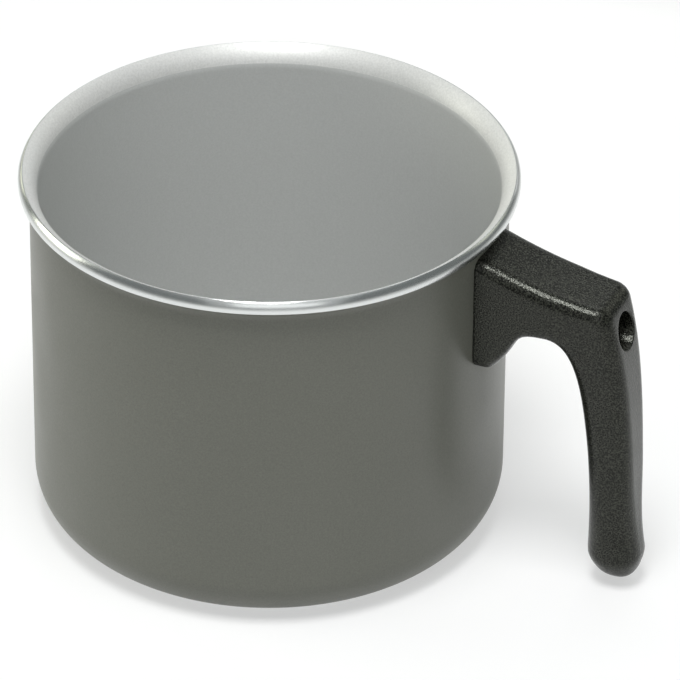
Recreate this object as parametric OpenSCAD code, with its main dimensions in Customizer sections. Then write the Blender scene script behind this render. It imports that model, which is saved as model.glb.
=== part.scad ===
// Milk pan: a pressed aluminium pot with a flared, turned rim, lined and lacquered,
// and a moulded hook handle held by one long screw in a boss welded on the wall.
// Millimetres, +Z up. The origin is the centre of the base, in the plane the pan stands on.
// The handle points along +X.

/* [Pot] */
// Inside diameter of the straight wall, over the lining
bore_d = 139.4; // [110:0.2:200]
// Height from the table to the top of the rim
pan_h = 117.8; // [95:0.2:160]
// Thickness of the pressed metal in the wall
wall_t = 2.2; // [1.6:0.1:3.5]
// Thickness of the metal in the base
base_t = 3; // [2:0.1:6]
// Outside radius between the wall and the base
foot_r = 15.5; // [8:0.5:24]
// How far the lathe cuts the rounded foot flat
turn_cut = 0.5; // [0.3:0.1:1]
// Thickness of the lining
lining_t = 0.2; // [0.1:0.05:0.5]
// Thickness of the outer lacquer
lacquer_t = 0.2; // [0.1:0.05:0.5]
// Height at which the lacquer ends above the table
lacquer_low = 1; // [0.8:0.1:3]

/* [Rim] */
// How far the turned edge stands out from the wall
rim_out = 3.3; // [2:0.1:5]
// Distance from the top of the rim to the lower corner of the turned edge
edge_h = 3.7; // [3:0.1:5]
// Radius of the barrel shape that the edge is turned to
edge_r = 3.5; // [3:0.1:5]
// How far the crest of the rim lies inside the widest circle of the edge
crest_in = 1.3; // [0.6:0.1:1.8]
// Radius of the hollow under the rim
flare_r = 5; // [4.2:0.1:7]
// Radius of the bell inside the rim
bell_r = 8; // [6:0.2:12]
// Distance from the top of the rim to the line where the lining ends
bare_h = 5.3; // [3.5:0.1:7]

/* [Base] */
// Diameter of the plain disc in the middle of the base
hub_d = 22; // [12:1:40]
// Number of turned rings in the base
ring_count = 6; // [0:1:7]
// Distance from one turned ring to the next
ring_pitch = 6.5; // [4:0.5:7]
// Depth of a turned ring
ring_depth = 0.4; // [0.2:0.05:0.8]
// Radius of the tool that cuts a turned ring
ring_tool_r = 1.6; // [1:0.1:2.5]

/* [Handle pad and arm] */
// Gap between the start of the flare and the top of the pad
pad_gap = 0.1; // [0:0.1:6]
// Height of the pad on the wall
pad_h = 38; // [34:0.5:44]
// Thickness of the pad at its lower end
pad_t = 3.7; // [3:0.1:7]
// Radius on the lower end of the pad
pad_r = 3.5; // [1.5:0.1:3.6]
// Width of the pad and the arm
arm_w = 24; // [20:0.5:30]
// Rounding of the arm's long edges
arm_edge_r = 4; // [2:0.1:6]
// Distance from the wall to the corner between the arm and the grip
corner_reach = 40.5; // [38:0.1:48]
// How far the top of the arm falls from the wall to that corner
arm_fall = 9.4; // [5:0.1:12]
// How far the top of the arm is drawn down between its ends
arm_sag = 2.7; // [0:0.1:5]
// Radius of that corner
corner_r = 5.1; // [3:0.1:7]
// Distance from the wall to the top of the arch
arch_reach = 20.6; // [18:0.1:26]
// Height of the arch above the pad's lower end
arch_rise = 14.9; // [12:0.1:16]

/* [Handle grip] */
// How far the waist lies below the top of the arch
waist_drop = 38.2; // [32:0.1:44]
// Distance from the wall to the back of the waist
waist_reach = 48.3; // [46:0.1:56]
// Thickness of the waist
waist_t = 14.3; // [11:0.1:17]
// Width of the waist
waist_w = 17.5; // [14:0.1:22]
// Rounding of the edges at the waist
waist_edge_r = 5; // [3:0.1:6.5]
// Lean of the grip's back at the waist, in degrees
waist_lean = 3; // [0:0.5:8]
// Lean of the grip's front at the waist, in degrees
waist_front_lean = 5; // [0:0.5:10]
// Height above the table where the rounded tip begins
tip_start_z = 11.7; // [9:0.1:16]
// Height of the tip's lowest point above the table
tip_z = 2; // [0.5:0.1:6]
// Distance from the wall to the back of the grip where the tip begins
tail_reach = 51.1; // [48:0.1:60]
// Thickness of the grip where the tip begins
tail_t = 16.8; // [12:0.1:19]
// Width of the grip where the tip begins
tail_w = 15.9; // [13:0.1:22]
// Rounding of the edges where the tip begins
tail_edge_r = 6.8; // [4:0.1:8]
// Lean of the grip's back where the tip begins, in degrees
tail_lean = 10; // [0:0.5:14]
// Lean of the grip's front where the tip begins, in degrees
tail_front_lean = -1.5; // [-8:0.5:6]
// How far the end of the tip lies out from the middle of the grip
tip_out = 1.9; // [0:0.1:4]

/* [Fixing] */
// Distance from the top of the pad down to the screw's axis at the wall
screw_drop = 16.1; // [14:0.1:19]
// Fall of the screw's axis away from the wall, in degrees
screw_fall = 5; // [0:0.5:8]
// Diameter of the bore that lets the screwdriver in
access_d = 11.2; // [10.6:0.1:12.5]
// Nominal diameter of the screw's thread
screw_d = 5; // [4:0.5:6]
// Length of the screw under its head
screw_l = 30; // [28:0.5:32]
// Diameter of the screw's head
head_d = 9.5; // [8:0.1:10]
// Height of the screw's head
head_h = 3.6; // [2.5:0.1:4.5]
// Clearance round the screw's shank in the handle
shank_gap = 0.3; // [0.2:0.05:0.6]
// Outside diameter of the welded boss
boss_d = 10; // [8:0.5:13]
// Length of the welded boss beyond the wall
boss_l = 10; // [8:0.5:12]
// Clearance round and beyond the boss in its socket
boss_gap = 0.25; // [0.1:0.05:0.5]
// Distance from the wall to the tip of the screw
screw_tip = 3.2; // [2.6:0.1:4]
// Space between the tip of the screw and the end of the tapped hole
tap_gap = 1; // [0.5:0.1:1.5]
// Radial clearance that stands for the thread's flanks
thread_gap = 0.03; // [0.02:0.01:0.1]
// Outside diameter of the flat washer
flat_washer_d = 10; // [8.5:0.1:10.4]
// Thickness of the flat washer
flat_washer_t = 1; // [0.5:0.1:1.5]
// Outside diameter of the spring washer
spring_washer_d = 9.2; // [8:0.1:10]
// Thickness of the spring washer
spring_washer_t = 1.2; // [0.8:0.1:1.6]
// Width of the split in the spring washer
washer_split = 1; // [0.5:0.1:2]
// Radial clearance between the washers and the screw
washer_gap = 0.15; // [0.1:0.05:0.4]

/* [Hidden] */
$fn = 96;

// How far a cut runs past the face it leaves through
overrun = 1;

// Radii of the pot, from the inside outwards
lining_r = bore_d / 2;
metal_in_r = lining_r + lining_t;
metal_out_r = metal_in_r + wall_t;
wall_r = metal_out_r + lacquer_t;
rim_r = wall_r + rim_out;

// Inside of the foot
floor_z = base_t + lining_t;
hollow_foot_r = foot_r - lacquer_t - wall_t - lining_t;

// Rim: the turned edge, the hollow under it, and the bell that ends at the crest
crest_r = rim_r - crest_in;
edge_z = pan_h - sqrt(pow(edge_r, 2) - pow(edge_r - crest_in, 2));
edge_low_z = pan_h - edge_h;
edge_low_r = rim_r - edge_r + sqrt(pow(edge_r, 2) - pow(edge_z - edge_low_z, 2));
flare_z = edge_low_z - sqrt(pow(flare_r, 2) - pow(wall_r + flare_r - edge_low_r, 2));
bell_z = pan_h - sqrt(pow(bell_r, 2) - pow(lining_r + bell_r - crest_r, 2));
lining_top_z = pan_h - bare_h;

// Side view of the handle, as [distance from the pan's axis, height]
pad_top_z = flare_z - pad_gap;
pad_low_z = pad_top_z - pad_h;
// How deep the pad and the boss start inside the wall, which cuts them to a saddle
saddle_depth = wall_r - sqrt(pow(wall_r, 2) - pow(arm_w / 2, 2)) + 2 * overrun;
pad_top = [wall_r, pad_top_z];
corner = [wall_r + corner_reach, pad_top_z - arm_fall];
sag_share = 0.4;
arm_pull = pad_top + (corner - pad_top) * sag_share - [0, arm_sag];
arm_start = pad_top + (pad_top - arm_pull) * saddle_depth / (arm_pull - pad_top)[0];
pad_toe = [wall_r + pad_t, pad_low_z];
arch_top = [wall_r + arch_reach, pad_low_z + arch_rise];
// The pad's face leaves the toe outwards and upwards, and bends over into the arch
face_out_share = 0.5;
face_up_share = 0.72;
face_level_share = 0.55;
pad_pull = pad_toe + [arch_reach * face_out_share, arch_rise * face_up_share];
arch_pull = arch_top - [arch_reach * face_level_share, 0];
waist_back = [wall_r + waist_reach, arch_top[1] - waist_drop];
waist_front = waist_back - [waist_t, 0];
tail_back = [wall_r + tail_reach, tip_start_z];
tail_front = tail_back - [tail_t, 0];
corner_lean = 16.5;

// How far each curve follows its end directions, as shares of its span
back_share = 0.36;
tail_share = 0.36;
arch_out_share = 0.7;
arch_down_share = 0.54;

// Where the ruled stations of the moulding meet the arm's top and the arch
toe_share = 0.28;
crown_share = 0.7;
fan_start_share = 0.16;
fan_end_share = 0.3;
// How soon the width and the edges pass from the arm's to the waist's
taper_share = 0.6;
tip_round_share = 0.97;

// Steps of the moulding along each stretch, and in a quarter of its section
pad_steps = 2;
toe_steps = 4;
face_steps = 6;
arm_steps = 4;
corner_steps = 6;
grip_steps = 10;
tail_steps = 6;
tip_steps = 7;
quarter_steps = 5;
tip_last_angle = 86;

// Screw stack, as distances from the wall along the screw's axis
screw_z = pad_top_z - screw_drop;
head_seat = screw_tip + screw_l;
handle_seat = head_seat - spring_washer_t - flat_washer_t;
tap_end = screw_tip - tap_gap;
shank_r = screw_d / 2;
washer_hole_r = shank_r + washer_gap;
cross_w_share = 0.22;
cross_l_share = 0.9;
cross_depth_share = 0.55;
cross_w = screw_d * cross_w_share;
cross_l = screw_d * cross_l_share;
cross_depth = head_h * cross_depth_share;

function bezier(p, t) =
    len(p) == 1 ? p[0] : bezier([for (i = [0 : len(p) - 2]) p[i] * (1 - t) + p[i + 1] * t], t);
function blend(a, b, t) = a + (b - a) * t;
function unit(v) = v / norm(v);
// Direction of something that comes down and leans out by an angle
function down(lean) = [sin(lean), -cos(lean)];
function ease(t) = t * t * (3 - 2 * t);

// Distance from a corner to where an arc of radius r leaves its two legs
function arc_cut(a, c, b, r) = r / tan(acos(unit(a - c) * unit(b - c)) / 2);
// Point at share t of the arc of radius r that rounds corner c between a and b
function arc_point(a, c, b, r, t) =
    let (
        half = acos(unit(a - c) * unit(b - c)) / 2,
        middle = c + unit(unit(a - c) + unit(b - c)) * r / sin(half),
        start = c + unit(a - c) * arc_cut(a, c, b, r) - middle,
        side = sign(cross(c - a, b - c)),
        turn = side * (180 - 2 * half) * t
    )
    middle + [
        start[0] * cos(turn) - start[1] * sin(turn),
        start[0] * sin(turn) + start[1] * cos(turn)
    ];

// Curves of the side view
back_pull = corner + down(corner_lean) * norm(waist_back - corner) * back_share;
arm_end = corner + unit(arm_pull - corner) * arc_cut(arm_pull, corner, back_pull, corner_r);
back_start = corner + unit(back_pull - corner) * arc_cut(arm_pull, corner, back_pull, corner_r);
face_start = arc_point(pad_toe - [pad_t, 0], pad_toe, pad_pull, pad_r, 1);
tail_span = (waist_back - tail_back)[1];

function arm_top(t) = bezier([arm_start, arm_pull, arm_end], t);
function back(t) =
    bezier([
        back_start,
        back_pull,
        waist_back - down(waist_lean) * norm(waist_back - corner) * back_share,
        waist_back
    ], t);
function tail_out(t) =
    bezier([
        waist_back,
        waist_back + down(waist_lean) * tail_span * tail_share,
        tail_back - down(tail_lean) * tail_span * tail_share,
        tail_back
    ], t);
function pad_face(t) = bezier([face_start, pad_pull, arch_pull, arch_top], t);
function arch(t) =
    bezier([
        arch_top,
        arch_top + [(waist_front - arch_top)[0] * arch_out_share, 0],
        waist_front - down(waist_front_lean) * (arch_top - waist_front)[1] * arch_down_share,
        waist_front
    ], t);
function tail_in(t) =
    bezier([
        waist_front,
        waist_front + down(waist_front_lean) * tail_span * tail_share,
        tail_front - down(tail_front_lean) * tail_span * tail_share,
        tail_front
    ], t);

// A station is [outer point, inner point, width, edge radius]
function steps(n) = [for (i = [1 : n]) i / n];
function grip_width(t) = bezier([arm_w, blend(arm_w, waist_w, taper_share), waist_w], t);
function grip_edge(t) = bezier([arm_edge_r, blend(arm_edge_r, waist_edge_r, taper_share), waist_edge_r], t);
function fan(t) = [grip_width(t), grip_edge(t)];

pad_shank = [for (t = concat([0], steps(pad_steps)))
    [
        arm_top(toe_share * t / 2),
        blend([wall_r - saddle_depth, pad_low_z], arc_point(pad_toe - [pad_t, 0], pad_toe, pad_pull, pad_r, 0), t),
        arm_w,
        arm_edge_r
    ]];
pad_end = [for (t = steps(toe_steps))
    [
        arm_top(toe_share * (1 + t) / 2),
        arc_point(pad_toe - [pad_t, 0], pad_toe, pad_pull, pad_r, t),
        arm_w,
        arm_edge_r
    ]];
neck = [for (t = steps(face_steps))
    [arm_top(blend(toe_share, crown_share, t)), pad_face(t), arm_w, arm_edge_r]];
arm = [for (t = steps(arm_steps))
    [
        arm_top(blend(crown_share, 1, t)),
        arch(fan_start_share * t),
        fan(fan_start_share * t)[0],
        fan(fan_start_share * t)[1]
    ]];
knuckle = [for (t = steps(corner_steps))
    let (s = blend(fan_start_share, fan_end_share, t))
    [arc_point(arm_pull, corner, back_pull, corner_r, t), arch(s), fan(s)[0], fan(s)[1]]];
grip = [for (t = steps(grip_steps))
    let (s = blend(fan_end_share, 1, t))
    [back(t), arch(s), fan(s)[0], fan(s)[1]]];
tail = [for (t = steps(tail_steps))
    [
        tail_out(t),
        tail_in(t),
        blend(waist_w, tail_w, ease(t)),
        blend(waist_edge_r, tail_edge_r, ease(t))
    ]];
tip_round = min(tail_t, tail_w) / 2 * tip_round_share;
tip = [for (t = steps(tip_steps))
    let (
        angle = tip_last_angle * t,
        shrink = tip_round * (1 - cos(angle)),
        place = [tip_out * (1 - cos(angle)), -(tip_start_z - tip_z) * sin(angle) / sin(tip_last_angle)]
    )
    [
        tail_back + place - [shrink, 0],
        tail_front + place + [shrink, 0],
        tail_w - 2 * shrink,
        tail_edge_r
    ]];
stations = concat(pad_shank, pad_end, neck, arm, knuckle, grip, tail, tip);

// Rounded rectangle across a station, as points in space
function ring(station) =
    let (
        middle = (station[0] + station[1]) / 2,
        half_t = norm(station[0] - station[1]) / 2,
        half_w = station[2] / 2,
        along = unit(station[0] - station[1]),
        r = min(station[3], half_t * tip_round_share, half_w * tip_round_share)
    )
    [
        for (quarter = [0 : 3], i = [0 : quarter_steps])
            let (
                angle = 90 * (quarter + i / quarter_steps),
                out = (quarter == 0 || quarter == 3 ? 1 : -1) * (half_t - r) + r * cos(angle),
                across = (quarter < 2 ? 1 : -1) * (half_w - r) + r * sin(angle)
            )
            [middle[0] + along[0] * out, across, middle[1] + along[1] * out]
    ];

// Solid lofted through the stations
module moulding() {
    count = 4 * (quarter_steps + 1);
    last = (len(stations) - 1) * count;
    sides = [
        for (s = [0 : len(stations) - 2], i = [0 : count - 1])
            let (a = s * count + i, b = s * count + (i + 1) % count)
            each [[a, a + count, b], [b, a + count, b + count]]
    ];
    polyhedron(
        points = [for (s = stations) each ring(s)],
        faces = concat(
            sides,
            [[for (i = [0 : count - 1]) i]],
            [[for (i = [count - 1 : -1 : 0]) last + i]]
        )
    );
}

// Half section of a solid pot with a straight side and a rounded foot
module pot_half(r, foot, low_z, top_z) {
    translate([0, low_z])
        square([r - foot, top_z - low_z]);
    translate([0, low_z + foot])
        square([r, top_z - low_z - foot]);
    translate([r - foot, low_z + foot])
        circle(foot);
}

// Half section of the pan as a solid, with a skin of the given thickness taken off outside
module outside_half(skin) {
    difference() {
        union() {
            pot_half(wall_r - skin, foot_r - skin, skin - turn_cut, flare_z + overrun);
            translate([0, flare_z])
                square([edge_low_r, edge_low_z - flare_z]);
            translate([0, flare_z])
                square([rim_r - edge_r, pan_h - flare_z]);
            translate([rim_r - edge_r, edge_z])
                circle(edge_r);
        }
        translate([0, pan_h])
            square([rim_r, edge_r]);
        translate([wall_r + flare_r, flare_z])
            circle(flare_r + skin);
        translate([0, -turn_cut - overrun])
            square([wall_r, turn_cut + overrun]);
    }
}

// Half section of the hollow of the pan, grown by a skin, up to a level
module hollow_half(skin, top_z) {
    pot_half(lining_r + skin, hollow_foot_r + skin, floor_z - skin, bell_z + overrun);
    difference() {
        translate([0, bell_z])
            square([crest_r, top_z - bell_z]);
        translate([lining_r + bell_r, bell_z])
            circle(bell_r - skin);
    }
}

module lining_half() {
    difference() {
        hollow_half(lining_t, lining_top_z);
        hollow_half(0, pan_h + overrun);
    }
}

module lacquer_half() {
    difference() {
        outside_half(0);
        outside_half(lacquer_t);
        translate([0, -overrun])
            square([rim_r, overrun + lacquer_low]);
    }
}

// Grooves that the lathe leaves in the base
module ring_half() {
    for (i = [1 : 1 : ring_count])
        translate([hub_d / 2 + ring_pitch * (i - 1 / 2), ring_depth - ring_tool_r])
            circle(ring_tool_r);
}

// Puts a child that stands on the wall's surface, with its axis along +Z, on the screw's axis
module on_screw_axis() {
    translate([wall_r, 0, screw_z])
        rotate([0, 90 + screw_fall, 0])
            children();
}

module pan_body() {
    color("silver")
        rotate_extrude()
            difference() {
                outside_half(0);
                hollow_half(0, pan_h + overrun);
                lining_half();
                lacquer_half();
                ring_half();
            }
}

module inner_lining() {
    color("gray")
        rotate_extrude()
            lining_half();
}

module outer_lacquer() {
    color("dimgray")
        difference() {
            rotate_extrude()
                lacquer_half();
            on_screw_axis()
                translate([0, 0, -saddle_depth])
                    cylinder(r = boss_d / 2, h = 2 * saddle_depth);
        }
}

// Boss that is welded on the wall before it is lacquered, tapped for the screw
module handle_stud() {
    color("silver")
        difference() {
            on_screw_axis()
                translate([0, 0, -saddle_depth])
                    cylinder(r = boss_d / 2, h = saddle_depth + boss_l);
            cylinder(r = metal_out_r, h = pan_h);
            on_screw_axis()
                translate([0, 0, tap_end])
                    cylinder(r = shank_r + thread_gap, h = boss_l - tap_end + overrun);
        }
}

module handle() {
    color("#1d1d1f")
        difference() {
            moulding();
            cylinder(r = wall_r, h = pan_h);
            on_screw_axis() {
                translate([0, 0, -saddle_depth])
                    cylinder(r = boss_d / 2 + boss_gap, h = saddle_depth + boss_l + boss_gap);
                cylinder(r = shank_r + shank_gap, h = handle_seat + overrun);
                translate([0, 0, handle_seat])
                    cylinder(r = access_d / 2, h = corner_reach);
            }
        }
}

module washer(outer_r, thickness) {
    difference() {
        cylinder(r = outer_r, h = thickness);
        translate([0, 0, -overrun])
            cylinder(r = washer_hole_r, h = thickness + 2 * overrun);
    }
}

module flat_washer() {
    color("lightsteelblue")
        on_screw_axis()
            translate([0, 0, handle_seat])
                washer(flat_washer_d / 2, flat_washer_t);
}

module spring_washer() {
    color("lightsteelblue")
        on_screw_axis()
            translate([0, 0, handle_seat + flat_washer_t])
                difference() {
                    washer(spring_washer_d / 2, spring_washer_t);
                    translate([0, -washer_split / 2, -overrun])
                        cube([spring_washer_d, washer_split, spring_washer_t + 2 * overrun]);
                }
}

// Pan-head screw with a cross recess
module handle_screw() {
    dome_r = (pow(head_d / 2, 2) + pow(head_h, 2)) / (2 * head_h);
    color("lightsteelblue")
        on_screw_axis() {
            translate([0, 0, screw_tip])
                cylinder(r = shank_r, h = screw_l);
            translate([0, 0, head_seat])
                difference() {
                    intersection() {
                        cylinder(r = head_d / 2, h = head_h);
                        translate([0, 0, head_h - dome_r])
                            sphere(dome_r);
                    }
                    for (turn = [0, 90])
                        rotate([0, 0, turn])
                            translate([-cross_l / 2, -cross_w / 2, head_h - cross_depth])
                                cube([cross_l, cross_w, cross_depth + overrun]);
                }
        }
}

pan_body();
inner_lining();
outer_lacquer();
handle_stud();
handle();
flat_washer();
spring_washer();
handle_screw();
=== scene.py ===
"""Looks of a milk pan: a lined and lacquered pot with a turned rim and a moulded hook handle.

Profiles and curves are in millimetres, as in the part's source, and every mesh is made in metres.
"""

import math

import bmesh
import bpy
from mathutils import Euler, Matrix, Vector
from mathutils.bvhtree import BVHTree


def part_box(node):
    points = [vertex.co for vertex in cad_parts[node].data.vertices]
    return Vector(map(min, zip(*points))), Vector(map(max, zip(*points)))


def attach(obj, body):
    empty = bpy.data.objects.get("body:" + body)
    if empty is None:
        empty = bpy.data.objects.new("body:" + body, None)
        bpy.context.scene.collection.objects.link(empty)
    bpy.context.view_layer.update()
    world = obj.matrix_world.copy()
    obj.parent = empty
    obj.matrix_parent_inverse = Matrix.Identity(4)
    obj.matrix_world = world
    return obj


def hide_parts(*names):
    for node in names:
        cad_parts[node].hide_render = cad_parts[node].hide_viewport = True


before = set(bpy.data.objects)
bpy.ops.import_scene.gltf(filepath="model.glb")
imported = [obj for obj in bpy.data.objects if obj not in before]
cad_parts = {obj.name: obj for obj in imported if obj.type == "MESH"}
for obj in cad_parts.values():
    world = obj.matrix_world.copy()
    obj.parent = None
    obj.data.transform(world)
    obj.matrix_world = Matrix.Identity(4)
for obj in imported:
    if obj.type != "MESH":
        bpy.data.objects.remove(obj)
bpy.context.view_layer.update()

MM = 0.001

# Pot, from the part's source
PAN_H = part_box("pan_body")[1].z / MM
RIM_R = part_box("pan_body")[1].x / MM
LINING_R = 69.7
LINING_T = 0.2
LACQUER_T = 0.2
WALL_R = 72.3
BASE_T = 3.0
FOOT_R = 15.5
TURN_CUT = 0.5
FOOT_MID = Vector((WALL_R - FOOT_R, FOOT_R - TURN_CUT))
LACQUER_LOW_Z = 1.0
HOLLOW_FOOT_R = 12.9
HOLLOW_MID = Vector((LINING_R - HOLLOW_FOOT_R, BASE_T + LINING_T + HOLLOW_FOOT_R))

# Rim
EDGE_H = 3.7
EDGE_R = 3.5
CREST_IN = 1.3
FLARE_R = 5.0
BELL_R = 8.0
BARE_H = 5.3
CREST = Vector((RIM_R - CREST_IN, PAN_H))
EDGE_MID = Vector((RIM_R - EDGE_R, PAN_H - math.sqrt(EDGE_R**2 - (EDGE_R - CREST_IN) ** 2)))
EDGE_LOW_Z = PAN_H - EDGE_H
EDGE_LOW_R = EDGE_MID.x + math.sqrt(EDGE_R**2 - (EDGE_MID.y - EDGE_LOW_Z) ** 2)
FLARE_MID = Vector((
    WALL_R + FLARE_R,
    EDGE_LOW_Z - math.sqrt(FLARE_R**2 - (WALL_R + FLARE_R - EDGE_LOW_R) ** 2),
))
BELL_MID = Vector((
    LINING_R + BELL_R,
    PAN_H - math.sqrt(BELL_R**2 - (LINING_R + BELL_R - CREST.x) ** 2),
))
CREST_ROUND = 0.25
COAT_ROUND = 0.08

# Turned rings in the base
HUB_D = 22.0
RING_COUNT = 6
RING_PITCH = 6.5
RING_DEPTH = 0.4
RING_TOOL_R = 1.6

# Steps of the turned pieces: round the axis, and along each arc of their profiles
LATHE_STEPS = 192
FLARE_STEPS = 14
BELL_STEPS = 14
LINING_END_STEPS = 8
FOOT_STEPS = 24
BARE_FOOT_STEPS = 3
EDGE_STEPS = 20
RING_STEPS = 8
ROUND_SHARES = (0, 0.25, 0.5, 0.75, 1)
ON_AXIS = 1e-6

# Handle: pad and arm
PAD_GAP = 0.1
PAD_H = 38.0
PAD_TOP_Z = FLARE_MID.y - PAD_GAP
PAD_LOW_Z = PAD_TOP_Z - PAD_H
PAD_T = 3.7
PAD_R = 3.5
ARM_W = 24.0
ARM_EDGE_R = 4.0
CORNER_REACH = 40.5
ARM_FALL = 9.4
ARM_SAG = 2.7
SAG_SHARE = 0.4
CORNER_R = 5.1
CORNER_LEAN = 16.5
ARCH_REACH = 20.6
ARCH_RISE = 14.9
FACE_OUT_SHARE = 0.5
FACE_UP_SHARE = 0.72
FACE_LEVEL_SHARE = 0.55
SADDLE_SPARE = 2.0
SADDLE_DEPTH = WALL_R - math.sqrt(WALL_R**2 - (ARM_W / 2) ** 2) + SADDLE_SPARE

# Handle: grip
WAIST_DROP = 38.2
WAIST_REACH = 48.3
WAIST_T = 14.3
WAIST_W = 17.5
WAIST_EDGE_R = 5.0
WAIST_LEAN = 3.0
WAIST_FRONT_LEAN = 5.0
TIP_START_Z = 11.7
TIP_Z = 2.0
TAIL_REACH = 51.1
TAIL_T = 16.8
TAIL_W = 15.9
TAIL_EDGE_R = 6.8
TAIL_LEAN = 10.0
TAIL_FRONT_LEAN = -1.5
TIP_OUT = 1.9
ARCH_OUT_SHARE = 0.7
ARCH_DOWN_SHARE = 0.54
BACK_SHARE = TAIL_SHARE = 0.36
TIP_ROUND_SHARE = 0.97

# Where the stations of the moulding meet the arm's top and the arch
TOE_SHARE = 0.28
CROWN_SHARE = 0.7
FAN_START_SHARE = 0.16
FAN_END_SHARE = 0.3
TAPER_SHARE = 0.6

# Screw's axis, and what is bored along it
SCREW_DROP = 16.1
SCREW_Z = PAD_TOP_Z - SCREW_DROP
SCREW_FALL = math.radians(5)
SCREW_START = Vector((WALL_R, 0, SCREW_Z))
SCREW_AXIS = Vector((math.cos(SCREW_FALL), 0, -math.sin(SCREW_FALL)))
SCREW_UP = Vector((math.sin(SCREW_FALL), 0, math.cos(SCREW_FALL)))
SCREW_ACROSS = Vector((0, 1, 0))
HANDLE_SEAT = 31.0
ACCESS_R = 5.6
LIP_R = 0.5
SHANK_HOLE_R = 2.8
BOSS_R = 5.0
SOCKET_R = 5.25
SOCKET_L = 10.25
SADDLE_ROUND = 0.3
# Height over the bore's bottom of one more row of points
BORE_ROW = 4.0

# Steps along each stretch of the moulding
PAD_STEPS = 6
TOE_STEPS = 6
FACE_STEPS = 10
ARM_STEPS = 8
CORNER_STEPS = 10
GRIP_STEPS = 40
TAIL_STEPS = 12
TIP_STEPS = 14

# Section of the moulding: steps on its flats, its sides and its rounded corners
FLAT_STEPS = 12
SIDE_STEPS = 6
QUARTER_STEPS = 6
SECTION_STEPS = 2 * (FLAT_STEPS + SIDE_STEPS) + 4 * QUARTER_STEPS
# The patch round the bore takes this many columns each way from the middle of the back
PATCH_HALF = FLAT_STEPS // 2 + 2
PATCH_ROWS = SECTION_STEPS // 2 - 2 * PATCH_HALF
PATCH_TOP_Z = 97.8
PATCH_SHARES = (0.8, 0.6, 0.4, 0.22, 0.1)
SEAT_X = WALL_R + HANDLE_SEAT
FAR = 100
# Steps of the finer surface on which the patch's points are laid, as a multiple of the loft's
FINE = 3
# Angles of the rows round the pad's edge and the bore's lip, and shares across the saddle
SADDLE_TURNS = (0, 30, 60, 90)
LIP_TURNS = (22.5, 45, 67.5, 90)
SOCKET_SHARES = (0, 0.25, 0.5, 0.75)
# Halvings of the search for the place where a column of points clears the wall
HALVINGS = 30

# Each material's two tones
BELL_TONES = ((0.58, 0.585, 0.57), (0.84, 0.845, 0.83))
EDGE_TONES = ((0.69, 0.71, 0.705), (0.76, 0.78, 0.775))
LACQUER_TONES = ((0.158, 0.16, 0.135), (0.193, 0.197, 0.165))
LINING_TONES = ((0.525, 0.535, 0.525), (0.575, 0.585, 0.575))
# The phenolic's lighter tone is partly a painted glint, standing in for light caught by its grain
PHENOLIC_AND_GLINT_TONES = ((0.001, 0.0011, 0.0008), (0.038, 0.04, 0.031))
PLATE_TONES = ((0.55, 0.56, 0.6), (0.7, 0.7, 0.69))
TABLE_TONES = ((0.43, 0.435, 0.435), (0.46, 0.465, 0.465))
# Width in millimetres over which the speckled bell turns into the bright edge
CREST_BLEND = 0.3

# Camera, with its angles in radians and its distances in metres
AZIMUTH = math.radians(22.9)
ELEVATION = math.radians(33.2034)
ROLL = math.radians(0.4757)
DISTANCE = 1.9
TARGET = Vector((0.01920, 0.00811, 0.06094))
LENS = 329.66
SENSOR = 36
SHIFT_X = 0.00343
SHIFT_Y = -0.01991

# Table: its shade and glow in the picture, and in metres where the glow fades, its half width
# and how far it lies below the pan
TABLE_SHADE = 0.5
TABLE_GLOW = 0.5
TABLE_GLOW_TONE = (0.995, 1, 1)
TABLE_FADE = (0.32, 0.5)
TABLE_HALF = 20
TABLE_DROP = 0.0001

# Light from all round, and the lit panels: name, side, elevation, distance, width, height,
# brightness and tint
WORLD_TONE = (0.17, 0.182, 0.182)
WHITE = (1, 1, 1)
PANELS = (
    ("front", 3, 14, 2.3, 2.4, 1.15, 0.27, WHITE),
    ("front_glow", 4, 27, 2.1, 1.3, 1.1, 0.7, WHITE),
    ("front_above", 3, 42, 2.3, 2.3, 1.15, 0.25, WHITE),
    ("left", -103, 13, 2.0, 1.0, 0.92, 3.0, (1, 1, 0.86)),
    ("left_above", -103, 40, 2.0, 1.0, 1.0, 0.6, (1, 1, 0.94)),
    ("left_top", -75, 64, 1.8, 1.0, 0.5, 0.3, WHITE),
    ("right_top", 60, 62, 1.8, 1.0, 0.6, 0.7, WHITE),
    ("key", -11, 75, 1.6, 0.48, 0.62, 19.5, WHITE),
    ("behind_top", 172, 52, 1.8, 1.0, 0.7, 1.6, WHITE),
    ("behind_left", -148, 13, 2.2, 1.1, 1.0, 1.1, (1, 1, 0.8)),
    ("behind_right", 150, 13, 2.2, 1.1, 1.0, 0.6, WHITE),
    ("right_behind", 122, 30, 2.2, 1.2, 1.0, 0.58, (1, 1, 0.84)),
)


def bezier(points, t):
    while len(points) > 1:
        points = [a * (1 - t) + b * t for a, b in zip(points, points[1:])]
    return points[0]


def blend(a, b, t):
    return a + (b - a) * t


def steps(count):
    return [i / count for i in range(1, count + 1)]


def ease(t):
    return t * t * (3 - 2 * t)


def down(lean):
    """Direction of something that comes down and leans out by an angle in degrees"""
    return Vector((math.sin(math.radians(lean)), -math.cos(math.radians(lean))))


def arc(middle, radius, start, end, count):
    """Points of an arc of a profile, from one angle to another in degrees"""
    angles = [math.radians(blend(start, end, i / count)) for i in range(count + 1)]
    return [middle + radius * Vector((math.cos(a), math.sin(a))) for a in angles]


def angle_at(middle, radius, height):
    """Angle in degrees at which the right half of a circle has a height"""
    return math.degrees(math.asin((height - middle.y) / radius))


def rounded(points, corner, radius):
    """The same profile with one of its corners rounded"""
    before, at, after = points[corner - 1], points[corner], points[(corner + 1) % len(points)]
    turn = [arc_point(before, at, after, radius, t) for t in ROUND_SHARES]
    return points[:corner] + turn + points[corner + 1 :]


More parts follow.
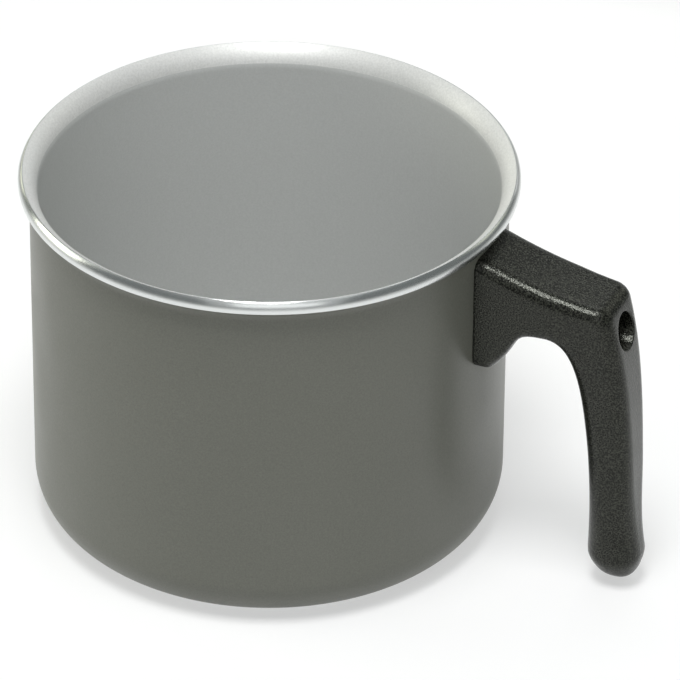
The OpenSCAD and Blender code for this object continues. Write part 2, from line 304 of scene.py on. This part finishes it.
def arc_point(a, corner, b, radius, t):
    """Point at share t of the arc that rounds a corner between a and b"""
    to_a, to_b = (a - corner).normalized(), (b - corner).normalized()
    half = to_a.angle(to_b) / 2
    middle = corner + (to_a + to_b).normalized() * radius / math.sin(half)
    start = corner + to_a * radius / math.tan(half) - middle
    side = math.copysign(1, (corner - a).cross(b - corner))
    turn = side * (math.pi - 2 * half) * t
    return middle + Matrix.Rotation(turn, 2) @ start


def new_piece(name, vertices, faces, material, slot, *nodes, sharp=35):
    """A piece made from points in millimetres, which stands for CAD nodes"""
    mesh = bpy.data.meshes.new(name)
    mesh.from_pydata([Vector(v) * MM for v in vertices], [], faces)
    work = bmesh.new()
    work.from_mesh(mesh)
    bmesh.ops.recalc_face_normals(work, faces=work.faces)
    work.to_mesh(mesh)
    work.free()
    mesh.shade_smooth()
    mesh.set_sharp_from_angle(angle=math.radians(sharp))
    mesh.materials.append(material)
    piece = bpy.data.objects.new(name, mesh)
    bpy.context.scene.collection.objects.link(piece)
    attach(piece, "root")
    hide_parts(*nodes)
    return piece


def lathe(profile):
    """Vertices and faces of a profile turned round the pan's axis.

    The profile runs with the solid on its left. It closes on itself, or has both ends on the axis.
    """
    vertices, rows, faces = [], [], []
    for point in profile:
        if point.x < ON_AXIS:
            rows.append([len(vertices)] * LATHE_STEPS)
            vertices.append((0, 0, point.y))
            continue
        rows.append([len(vertices) + i for i in range(LATHE_STEPS)])
        for i in range(LATHE_STEPS):
            turn = math.tau * i / LATHE_STEPS
            vertices.append((point.x * math.cos(turn), point.x * math.sin(turn), point.y))
    closed = profile[0].x > 0
    for low, high in zip(rows, rows[1:] + rows[:1] if closed else rows[1:]):
        for i in range(LATHE_STEPS):
            j = (i + 1) % LATHE_STEPS
            corners = [low[i], low[j], high[j], high[i]]
            faces.append([v for n, v in enumerate(corners) if v != corners[n - 1]])
    return vertices, faces


def flare(skin):
    """Hollow under the rim, from the wall outwards, under a skin of lacquer"""
    radius = FLARE_R + skin
    low = math.degrees(math.acos((FLARE_MID.x - EDGE_LOW_R) / radius))
    return arc(FLARE_MID, radius, 180, 180 - low, FLARE_STEPS)


def hollow(skin):
    """Inside of the pot from the lining's upper end to the middle of the floor"""
    radius = BELL_R - skin
    rise = math.degrees(math.asin((PAN_H - BARE_H - BELL_MID.y) / radius))
    return (
        arc(BELL_MID, radius, 180 - rise, 180, LINING_END_STEPS)
        + arc(HOLLOW_MID, HOLLOW_FOOT_R + skin, 0, -90, FOOT_STEPS)
        + [Vector((0, BASE_T + LINING_T - skin))]
    )


def foot(skin, low_z):
    """Rounded foot from a height up to the wall"""
    radius = FOOT_R - skin
    return arc(FOOT_MID, radius, angle_at(FOOT_MID, radius, low_z), 0, FOOT_STEPS)


def base_rings():
    """Underside of the base from its middle outwards, with its turned rings"""
    points = [Vector((0, 0))]
    half = math.degrees(math.acos(1 - RING_DEPTH / RING_TOOL_R))
    for i in range(RING_COUNT):
        middle = Vector((HUB_D / 2 + RING_PITCH * (i + 0.5), RING_DEPTH - RING_TOOL_R))
        points += arc(middle, RING_TOOL_R, 90 + half, 90 - half, RING_STEPS)
    return points


def turned_edge():
    """Barrel of the turned edge from its lower corner up to the crest"""
    crest_angle = math.degrees(math.acos((CREST.x - EDGE_MID.x) / EDGE_R))
    low_angle = angle_at(EDGE_MID, EDGE_R, EDGE_LOW_Z)
    return arc(EDGE_MID, EDGE_R, low_angle, crest_angle, EDGE_STEPS)


def bell():
    """Bare bell inside the rim, from the crest down to the lining's end"""
    crest_angle = 180 - math.degrees(math.acos((BELL_MID.x - CREST.x) / BELL_R))
    low_angle = 180 - math.degrees(math.asin((PAN_H - BARE_H - BELL_MID.y) / BELL_R))
    return arc(BELL_MID, BELL_R, crest_angle, low_angle, BELL_STEPS)


def metal_profile():
    under_coat = flare(LACQUER_T)[:-1]
    edge = turned_edge()
    inside = bell()
    crest = len(edge) - 1
    rim = rounded(edge + inside[1:], crest, CREST_ROUND)
    coat_end = foot(LACQUER_T, LACQUER_LOW_Z)
    foot_angles = [angle_at(FOOT_MID, FOOT_R, height) for height in (0, LACQUER_LOW_Z)]
    bare_foot = arc(FOOT_MID, FOOT_R, *foot_angles, BARE_FOOT_STEPS)
    return base_rings() + bare_foot + coat_end + under_coat + rim + hollow(LINING_T)


def lining_profile():
    upper = hollow(0)
    back = hollow(LINING_T)[::-1]
    return rounded(back + upper, len(back), COAT_ROUND)


def lacquer_profile():
    out = foot(0, LACQUER_LOW_Z) + flare(0)
    back = (foot(LACQUER_T, LACQUER_LOW_Z) + flare(LACQUER_T)[:-1])[::-1]
    points = rounded(out + back, len(out) - 1, COAT_ROUND)
    return rounded(points, 0, COAT_ROUND)


def handle_stations(fine=1):
    """Stations of the moulding from the pad to the tip, each (outer, inner, width, edge radius).

    Outer and inner are points in the XZ plane. Each stretch takes its steps times fine.
    """
    pad_top = Vector((WALL_R, PAD_TOP_Z))
    corner = pad_top + Vector((CORNER_REACH, -ARM_FALL))
    arm_pull = blend(pad_top, corner, SAG_SHARE) - Vector((0, ARM_SAG))
    arm_start = pad_top + (pad_top - arm_pull) * SADDLE_DEPTH / (arm_pull - pad_top).x
    pad_root = Vector((WALL_R - SADDLE_DEPTH, PAD_LOW_Z))
    pad_toe = Vector((WALL_R + PAD_T, PAD_LOW_Z))
    arch_top = Vector((WALL_R + ARCH_REACH, PAD_LOW_Z + ARCH_RISE))
    pad_pull = pad_toe + Vector((ARCH_REACH * FACE_OUT_SHARE, ARCH_RISE * FACE_UP_SHARE))
    arch_pull = arch_top - Vector((ARCH_REACH * FACE_LEVEL_SHARE, 0))
    waist_back = Vector((WALL_R + WAIST_REACH, arch_top.y - WAIST_DROP))
    waist_front = waist_back - Vector((WAIST_T, 0))
    tail_back = Vector((WALL_R + TAIL_REACH, TIP_START_Z))
    tail_front = tail_back - Vector((TAIL_T, 0))
    back_reach = (waist_back - corner).length * BACK_SHARE
    back_pull = corner + down(CORNER_LEAN) * back_reach
    tail_pull = (waist_back - tail_back).y * TAIL_SHARE

    arm_end, back_start = (arc_point(arm_pull, corner, back_pull, CORNER_R, t) for t in (0, 1))
    face_start = arc_point(pad_root, pad_toe, pad_pull, PAD_R, 1)
    top = (arm_start, arm_pull, arm_end)
    back = (back_start, back_pull, waist_back - down(WAIST_LEAN) * back_reach, waist_back)
    face = (face_start, pad_pull, arch_pull, arch_top)
    arch = (
        arch_top,
        arch_top + Vector(((waist_front - arch_top).x * ARCH_OUT_SHARE, 0)),
        waist_front - down(WAIST_FRONT_LEAN) * (arch_top - waist_front).y * ARCH_DOWN_SHARE,
        waist_front,
    )
    tail_out = (
        waist_back,
        waist_back + down(WAIST_LEAN) * tail_pull,
        tail_back - down(TAIL_LEAN) * tail_pull,
        tail_back,
    )
    tail_in = (
        waist_front,
        waist_front + down(WAIST_FRONT_LEAN) * tail_pull,
        tail_front - down(TAIL_FRONT_LEAN) * tail_pull,
        tail_front,
    )

    def fanned(outer, share):
        width = bezier((ARM_W, blend(ARM_W, WAIST_W, TAPER_SHARE), WAIST_W), share)
        edge_pull = blend(ARM_EDGE_R, WAIST_EDGE_R, TAPER_SHARE)
        edge = bezier((ARM_EDGE_R, edge_pull, WAIST_EDGE_R), share)
        return outer, bezier(arch, share), width, edge

    def toe(t):
        return arc_point(pad_root, pad_toe, pad_pull, PAD_R, t)

    stations = [
        (bezier(top, TOE_SHARE * t / 2), blend(pad_root, toe(0), t), ARM_W, ARM_EDGE_R)
        for t in [0] + steps(PAD_STEPS * fine)
    ]
    stations += [
        (bezier(top, TOE_SHARE * (1 + t) / 2), toe(t), ARM_W, ARM_EDGE_R)
        for t in steps(TOE_STEPS * fine)
    ]
    stations += [
        (bezier(top, blend(TOE_SHARE, CROWN_SHARE, t)), bezier(face, t), ARM_W, ARM_EDGE_R)
        for t in steps(FACE_STEPS * fine)
    ]
    stations += [
        fanned(bezier(top, blend(CROWN_SHARE, 1, t)), FAN_START_SHARE * t)
        for t in steps(ARM_STEPS * fine)
    ]
    stations += [
        fanned(
            arc_point(arm_pull, corner, back_pull, CORNER_R, t),
            blend(FAN_START_SHARE, FAN_END_SHARE, t),
        )
        for t in steps(CORNER_STEPS * fine)
    ]
    stations += [
        fanned(bezier(back, t), blend(FAN_END_SHARE, 1, t)) for t in steps(GRIP_STEPS * fine)
    ]
    stations += [
        (
            bezier(tail_out, t),
            bezier(tail_in, t),
            blend(WAIST_W, TAIL_W, ease(t)),
            blend(WAIST_EDGE_R, TAIL_EDGE_R, ease(t)),
        )
        for t in steps(TAIL_STEPS * fine)
    ]
    tip_round = min(TAIL_T, TAIL_W) / 2 * TIP_ROUND_SHARE
    for t in steps(TIP_STEPS * fine):
        angle = math.pi / 2 * t
        shrink = tip_round * (1 - math.cos(angle))
        place = Vector((
            TIP_OUT * (1 - math.cos(angle)),
            -(TIP_START_Z - TIP_Z) * math.sin(angle),
        ))
        stations.append((
            tail_back + place - Vector((shrink, 0)),
            tail_front + place + Vector((shrink, 0)),
            TAIL_W - 2 * shrink,
            TAIL_EDGE_R,
        ))
    return stations


def section(outer, inner, width, edge, fine=1):
    """Rounded rectangle across a station, from the middle of its outer flat.

    It is a list of points, each with its outward direction.
    """
    middle, half_t, half_w = (outer + inner) / 2, (outer - inner).length / 2, width / 2
    along = (outer - inner).normalized()
    radius = min(edge, half_t * TIP_ROUND_SHARE, half_w * TIP_ROUND_SHARE)
    flat_steps, side_steps, quarter = (n * fine for n in (FLAT_STEPS, SIDE_STEPS, QUARTER_STEPS))
    flat = Vector((half_t - radius, half_w - radius))
    corners = [Vector((flat.x * a, flat.y * b)) for a, b in ((1, 1), (-1, 1), (-1, -1), (1, -1))]
    outline = []
    for n, (corner, run) in enumerate(zip(corners, (side_steps, flat_steps) * 2)):
        for i in range(quarter + 1):
            turn = math.pi / 2 * (n + i / quarter)
            facing = Vector((math.cos(turn), math.sin(turn)))
            outline.append((corner + facing * radius, facing))
        following = corners[(n + 1) % 4] + facing * radius
        outline += [
            (blend(corner + facing * radius, following, t), facing) for t in steps(run)[:-1]
        ]
    start = flat_steps // 2
    outline = outline[-start:] + outline[:-start]

    def in_space(point, base=Vector((0, 0))):
        flat_place = base + along * point.x
        return Vector((flat_place.x, point.y, flat_place.y))

    return [(in_space(point, middle), in_space(facing)) for point, facing in outline]


def grid_faces(rows):
    """Faces between rows of vertex numbers that run round a piece"""
    faces = []
    for low, high in zip(rows, rows[1:]):
        for i in range(len(low)):
            j = (i + 1) % len(low)
            faces.append([low[i], low[j], high[j], high[i]])
    return faces


def round_screw(radius, depth):
    """Circle of points round the screw's axis, at a depth outwards from the wall"""
    turns = [math.tau * i / SECTION_STEPS for i in range(SECTION_STEPS)]
    return [
        SCREW_START
        + SCREW_AXIS * depth
        + (SCREW_ACROSS * math.sin(a) + SCREW_UP * math.cos(a)) * radius
        for a in turns
    ]


def on_wall(point):
    """The same point moved along X to the wall's surface"""
    return Vector((math.sqrt(WALL_R**2 - point.y**2), point.y, point.z))


def saddle_rows(sections):
    """Rows of the pad from its rounded edge on the wall to the first station clear of it"""

    def at(column, place):
        low = min(int(place), PAD_STEPS - 1)
        pair = [sections[low + n][column] for n in (0, 1)]
        return [blend(pair[0][n], pair[1][n], place - low) for n in (0, 1)]

    def clear_by(column, gap):
        """Place along a column where it is a distance from the wall"""
        low, high = 0.0, float(PAD_STEPS)
        for _ in range(HALVINGS):
            place = (low + high) / 2
            if at(column, place)[0].xy.length < WALL_R + gap:
                low = place
            else:
                high = place
        return place

    rows = []
    for turn in SADDLE_TURNS:
        gap = SADDLE_ROUND * (1 - math.cos(math.radians(turn)))
        inset = SADDLE_ROUND * (1 - math.sin(math.radians(turn)))
        row = []
        for column in range(SECTION_STEPS):
            point, facing = at(column, clear_by(column, gap))
            row.append(point - facing * inset)
        rows.append(row)
    rows[0] = [on_wall(point) for point in rows[0]]
    for t in steps(PAD_STEPS)[:-1]:
        rows.append([
            at(column, blend(clear_by(column, SADDLE_ROUND), PAD_STEPS, t))[0]
            for column in range(SECTION_STEPS)
        ])
    return rows


def handle_mesh():
    """Moulded handle, with the socket for the boss, the screw's hole and the bore in its back"""
    sections = [section(*station) for station in handle_stations()]
    loft = saddle_rows(sections) + [[point for point, _ in s] for s in sections[PAD_STEPS:]]

    vertices = []

    def add(points):
        start = len(vertices)
        vertices.extend(points)
        return list(range(start, start + len(points)))

    rows = [add(row) for row in loft]
    first = max(
        n for n, row in enumerate(loft) if row[0].z > PATCH_TOP_Z and row[0].x > SEAT_X
    )
    last = first + PATCH_ROWS
    faces = []
    for n, (low, high) in enumerate(zip(rows, rows[1:])):
        for i in range(SECTION_STEPS):
            in_patch = i < PATCH_HALF or i >= SECTION_STEPS - PATCH_HALF
            if not (in_patch and first <= n < last):
                j = (i + 1) % SECTION_STEPS
                faces.append([low[i], low[j], high[j], high[i]])
    faces.append(rows[-1])

    fine = [[point for point, _ in section(*s, fine=FINE)] for s in handle_stations(FINE)]
    count = len(fine[0])
    surface = BVHTree.FromPolygons(
        [point for row in fine for point in row],
        grid_faces([[n * count + i for i in range(count)] for n in range(len(fine))]),
    )

    def depth_at(point):
        """Distance from the wall, along the screw's axis, of the handle's back over a point"""
        aside = point - SCREW_START
        aside -= SCREW_AXIS * aside.dot(SCREW_AXIS)
        start = SCREW_START + aside + SCREW_AXIS * FAR
        return (surface.ray_cast(start, -SCREW_AXIS)[0] - SCREW_START).dot(SCREW_AXIS)

    def onto_back(point):
        return point + SCREW_AXIS * (depth_at(point) - (point - SCREW_START).dot(SCREW_AXIS))

    right = list(range(PATCH_HALF + 1))
    left = [SECTION_STEPS - n for n in range(PATCH_HALF, 0, -1)]
    border = [rows[first][i] for i in right]
    border += [rows[n][PATCH_HALF] for n in range(first + 1, last + 1)]
    border += [rows[last][i] for i in right[-2::-1] + left[::-1]]
    border += [rows[n][left[0]] for n in range(last - 1, first - 1, -1)]
    border += [rows[first][i] for i in left[1:]]

    mouth = [onto_back(point) for point in round_screw(ACCESS_R + LIP_R, HANDLE_SEAT)]
    patch = [border]
    for share in PATCH_SHARES:
        patch.append(add([
            onto_back(blend(at_mouth, vertices[at_border], share))
            for at_mouth, at_border in zip(mouth, border)
        ]))
    patch.append(add(mouth))
    depths = [(point - SCREW_START).dot(SCREW_AXIS) for point in mouth]
    for turn in LIP_TURNS:
        radius = ACCESS_R + LIP_R * (1 - math.sin(math.radians(turn)))
        drop = LIP_R * (1 - math.cos(math.radians(turn)))
        patch.append(add([
            point + SCREW_AXIS * (depth - drop)
            for point, depth in zip(round_screw(radius, 0), depths)
        ]))
    for radius, depth in (
        (ACCESS_R, HANDLE_SEAT + BORE_ROW),
        (ACCESS_R, HANDLE_SEAT),
        (SHANK_HOLE_R, HANDLE_SEAT),
        (SHANK_HOLE_R, SOCKET_L),
        (SOCKET_R, SOCKET_L),
    ):
        patch.append(add(round_screw(radius, depth)))
    socket = []
    for point in round_screw(SOCKET_R, 0):
        reach = (on_wall(point).x - point.x) / SCREW_AXIS.x
        socket.append(point + SCREW_AXIS * reach)
    for share in SOCKET_SHARES:
        patch.append(add([
            on_wall(blend(at_socket, vertices[at_edge], share))
            for at_socket, at_edge in zip(socket, rows[0])
        ]))
    patch.append(rows[0])
    return vertices, faces + grid_faces(patch)


class Recipe:
    """A material, and a short way to add nodes to its tree"""

    def __init__(self, name):
        self.material = bpy.data.materials.new(name)
        self.material.use_nodes = True
        self.tree = self.material.node_tree
        self.shader = self.tree.nodes["Principled BSDF"]
        self.place = self.add("TexCoord").outputs["Object"]

    def add(self, kind, inputs=None, **settings):
        node = self.tree.nodes.new("ShaderNode" + kind)
        for name, value in settings.items():
            setattr(node, name, value)
        self.feed(node, inputs or {})
        return node

    def feed(self, node, inputs):
        for key, value in inputs.items():
            if isinstance(value, bpy.types.NodeSocket):
                self.tree.links.new(value, node.inputs[key])
            else:
                node.inputs[key].default_value = value

    def noise(self, size, place=None, detail=2.0):
        """Noise from 0 to 1 whose patches are about a size in metres"""
        return self.add("TexNoise", {
            "Vector": place or self.place,
            "Scale": 1 / size,
            "Detail": detail,
        }).outputs["Fac"]

    def spread(self, value, low, high, start=0.3, end=0.7):
        """A value between start and end taken to one between low and high"""
        return self.add("MapRange", {
            "Value": value,
            "From Min": start,
            "From Max": end,
            "To Min": low,
            "To Max": high,
        }).outputs["Result"]

    def mixed(self, share, first, second):
        """A colour between two colours"""
        return self.add("Mix", {0: share, 6: first, 7: second}, data_type="RGBA").outputs[2]

    def toned(self, share, tones):
        """A colour between a material's two tones"""
        return self.mixed(share, *[tone + (1,) for tone in tones])

    def bump(self, height, distance, normal=None):
        inputs = {"Height": height, "Strength": 1.0, "Distance": distance}
        if normal:
            inputs["Normal"] = normal
        return self.add("Bump", inputs).outputs["Normal"]

    def round_axis(self):
        """Distance from the pan's axis and height, of which a noise runs in turned rings"""
        parts = self.add("SeparateXYZ", {0: self.place}).outputs
        flat = self.add("CombineXYZ", {0: parts[0], 1: parts[1]}).outputs[0]
        radius = self.add("VectorMath", {0: flat}, operation="LENGTH").outputs["Value"]
        return self.add("CombineXYZ", {0: radius, 1: parts[2]}).outputs[0]

    def finish(self, **inputs):
        self.feed(self.shader, {key.replace("_", " "): value for key, value in inputs.items()})
        return self.material


def turned_aluminium():
    """Bare metal with the lathe's fine rings: a speckled bell, and from its crest a bright edge"""
    recipe = Recipe("turned_aluminium")
    round_axis = recipe.round_axis()
    rings = recipe.noise(size=0.0006, place=round_axis, detail=3)
    handled = recipe.noise(size=0.02, detail=4)
    fleck = recipe.noise(size=0.0006)
    radius = recipe.add("SeparateXYZ", {0: round_axis}).outputs[0]
    turned = recipe.spread(radius, 0, 1, start=(CREST.x - CREST_BLEND) * MM, end=CREST.x * MM)
    dull = recipe.spread(handled, low=0.45, high=0.55)
    bright = recipe.spread(handled, low=0.2, high=0.28)
    return recipe.finish(
        Base_Color=recipe.mixed(
            turned, recipe.toned(fleck, BELL_TONES), recipe.toned(handled, EDGE_TONES)
        ),
        Metallic=recipe.add("Mix", {0: turned, 2: 0.3, 3: 1.0}).outputs[0],
        Roughness=recipe.add("Mix", {0: turned, 2: dull, 3: bright}).outputs[0],
        Anisotropic=0.65,
        Anisotropic_Rotation=0.25,
        Tangent=recipe.add("Tangent", direction_type="RADIAL", axis="Z").outputs[0],
        Normal=recipe.bump(rings, distance=0.000006),
    )


def baked_lacquer():
    """Taupe coat with a fine orange peel and a faint fleck"""
    recipe = Recipe("baked_lacquer")
    fleck = recipe.noise(size=0.0005, detail=3)
    cloud = recipe.noise(size=0.03)
    peel = recipe.noise(size=0.0009)
    return recipe.finish(
        Base_Color=recipe.toned(recipe.spread(fleck, low=0, high=1), LACQUER_TONES),
        Roughness=recipe.spread(cloud, low=0.34, high=0.42),
        Normal=recipe.bump(peel, distance=0.00001),
    )


def smooth_lining():
    """Grey non-stick coat, over the faint rings of the metal below it"""
    recipe = Recipe("smooth_lining")
    fleck = recipe.noise(size=0.0006, detail=3)
    cloud = recipe.noise(size=0.025)
    rings = recipe.noise(size=0.0012, place=recipe.round_axis())
    grain = recipe.bump(recipe.noise(size=0.0008), distance=0.000008)
    return recipe.finish(
        Base_Color=recipe.toned(recipe.spread(fleck, low=0, high=1), LINING_TONES),
        Roughness=recipe.spread(cloud, low=0.36, high=0.44),
        Normal=recipe.bump(rings, distance=0.000004, normal=grain),
    )


def grained_phenolic():
    """Black moulding with a fine pitted grain, whose lighter specks in the colour are partly
    painted glints of the grain
    """
    recipe = Recipe("grained_phenolic")
    grain = recipe.noise(size=0.0005, detail=1)
    worn = recipe.noise(size=0.012, detail=3)
    # Lighter specks in the colour: the grain's own tone, and partly painted glints where its pits
    # catch the light
    speck_and_painted_glint = recipe.spread(grain, low=0, high=1, start=0.42, end=0.68)
    return recipe.finish(
        Base_Color=recipe.toned(speck_and_painted_glint, PHENOLIC_AND_GLINT_TONES),
        Roughness=recipe.spread(worn, low=0.19, high=0.24),
        Specular_IOR_Level=recipe.spread(grain, low=0.27, high=0.45),
        Specular_Tint=(0.97, 1, 0.9, 1),
        Normal=recipe.bump(grain, distance=0.00011),
    )


def zinc_plate():
    """Plated steel with the plating's faint clouds"""
    recipe = Recipe("zinc_plate")
    cloud = recipe.noise(size=0.0025, detail=3)
    grain = recipe.noise(size=0.0003)
    return recipe.finish(
        Base_Color=recipe.toned(cloud, PLATE_TONES),
        Metallic=1.0,
        Roughness=recipe.spread(cloud, low=0.26, high=0.4),
        Normal=recipe.bump(grain, distance=0.000004),
    )


def cut_socket(piece):
    """Cuts the hole for the boss through the lacquer"""
    reach = 2 * SADDLE_DEPTH
    rows = [round_screw(BOSS_R, depth) for depth in (-reach, reach)]
    near = list(range(SECTION_STEPS))
    far = list(range(SECTION_STEPS, 2 * SECTION_STEPS))
    mesh = bpy.data.meshes.new("cutter")
    mesh.from_pydata(
        [point * MM for row in rows for point in row],
        [],
        grid_faces([near, far]) + [near[::-1], far],
    )
    cutter = bpy.data.objects.new("cutter", mesh)
    bpy.context.scene.collection.objects.link(cutter)
    modifier = piece.modifiers.new("socket", "BOOLEAN")
    modifier.object = cutter
    modifier.solver = "EXACT"
    bpy.context.view_layer.update()
    graph = bpy.context.evaluated_depsgraph_get()
    piece.data = bpy.data.meshes.new_from_object(piece.evaluated_get(graph))
    piece.modifiers.clear()
    bpy.data.objects.remove(cutter)


def make_pan():
    metal, steel = turned_aluminium(), zinc_plate()
    new_piece("pan_metal", *lathe(metal_profile()), metal, "bare_aluminium", "pan_body")
    new_piece(
        "pan_lining", *lathe(lining_profile()), smooth_lining(), "grey_lining", "inner_lining"
    )
    lacquer = new_piece(
        "pan_lacquer", *lathe(lacquer_profile()), baked_lacquer(), "taupe_lacquer", "outer_lacquer"
    )
    cut_socket(lacquer)
    new_piece("hook_handle", *handle_mesh(), grained_phenolic(), "black_phenolic", "handle")
    for node, material in (
        ("handle_stud", metal),
        ("flat_washer", steel),
        ("spring_washer", steel),
        ("handle_screw", steel),
    ):
        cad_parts[node].material_slots[0].material = material


def make_camera():
    level = Euler((math.pi / 2 - ELEVATION, 0, AZIMUTH)).to_matrix()
    turn = level @ Matrix.Rotation(ROLL, 3, "Z")
    data = bpy.data.cameras.new("camera")
    data.lens = LENS
    data.sensor_width = SENSOR
    data.shift_x = SHIFT_X
    data.shift_y = SHIFT_Y
    camera = bpy.data.objects.new("camera", data)
    camera.matrix_world = Matrix.LocRotScale(TARGET + turn.col[2] * DISTANCE, turn, None)
    bpy.context.scene.collection.objects.link(camera)
    bpy.context.scene.camera = camera


def softbox(name, side, elevation, distance, width, height, brightness, tint):
    """Lit panel that faces the pan. A brightness of 1 is that of a white sheet.

    Its side is 0 towards the camera and grows to the picture's right, in degrees.
    """
    side, elevation = math.radians(side) + AZIMUTH, math.radians(elevation)
    place = TARGET + distance * Vector((
        math.sin(side) * math.cos(elevation),
        -math.cos(side) * math.cos(elevation),
        math.sin(elevation),
    ))
    data = bpy.data.lights.new(name, "AREA")
    data.shape = "RECTANGLE"
    data.size, data.size_y = width, height
    data.energy = brightness * math.pi * width * height
    data.color = tint
    light = bpy.data.objects.new(name, data)
    light.location = place
    light.rotation_euler = (place - TARGET).to_track_quat("Z", "Y").to_euler()
    light.visible_camera = False
    bpy.context.scene.collection.objects.link(light)


def white_table():
    """Table that lights the pan as a plain sheet does, and shows white in the picture.

    Near the pan, what the camera and mirrors see of it also glows, so that its shadows stay pale.
    """
    recipe = Recipe("white_table")
    sheet = recipe.finish(
        Base_Color=recipe.toned(recipe.noise(size=0.4, detail=3), TABLE_TONES),
        Roughness=0.9,
        Specular_IOR_Level=0.1,
    )
    path = recipe.add("LightPath").outputs
    seen = path["Is Camera Ray"]
    for kind in ("Is Glossy Ray", "Is Transmission Ray"):
        seen = recipe.add("Math", {0: seen, 1: path[kind]}, operation="MAXIMUM").outputs[0]
    away = recipe.add("VectorMath", {0: recipe.place}, operation="LENGTH").outputs["Value"]
    shaded = recipe.add("BsdfDiffuse", {"Color": (TABLE_SHADE,) * 3 + (1,)})
    glow = recipe.add("Emission", {
        "Color": TABLE_GLOW_TONE + (1,),
        "Strength": recipe.spread(away, TABLE_GLOW, 0, *TABLE_FADE),
    })
    both = recipe.add("AddShader", {0: shaded.outputs[0], 1: glow.outputs[0]})
    surface = recipe.add(
        "MixShader", {0: seen, 1: recipe.shader.outputs[0], 2: both.outputs[0]}
    )
    output = recipe.tree.nodes["Material Output"].inputs["Surface"]
    recipe.tree.links.new(surface.outputs[0], output)
    return sheet


def make_studio():
    world = bpy.data.worlds.new("studio")
    world.use_nodes = True
    backdrop = world.node_tree.nodes["Background"]
    backdrop.inputs["Color"].default_value = WORLD_TONE + (1,)
    bpy.context.scene.world = world
    for panel in PANELS:
        softbox(*panel)

    low, high = -TABLE_HALF, TABLE_HALF
    corners = [(low, low, 0), (high, low, 0), (high, high, 0), (low, high, 0)]
    mesh = bpy.data.meshes.new("table")
    mesh.from_pydata(corners, [], [[0, 1, 2, 3]])
    mesh.materials.append(white_table())
    floor = bpy.data.objects.new("table", mesh)
    floor.location.z = -TABLE_DROP
    bpy.context.scene.collection.objects.link(floor)


make_pan()
make_camera()
make_studio()
bpy.context.scene.view_settings.view_transform = "Standard"
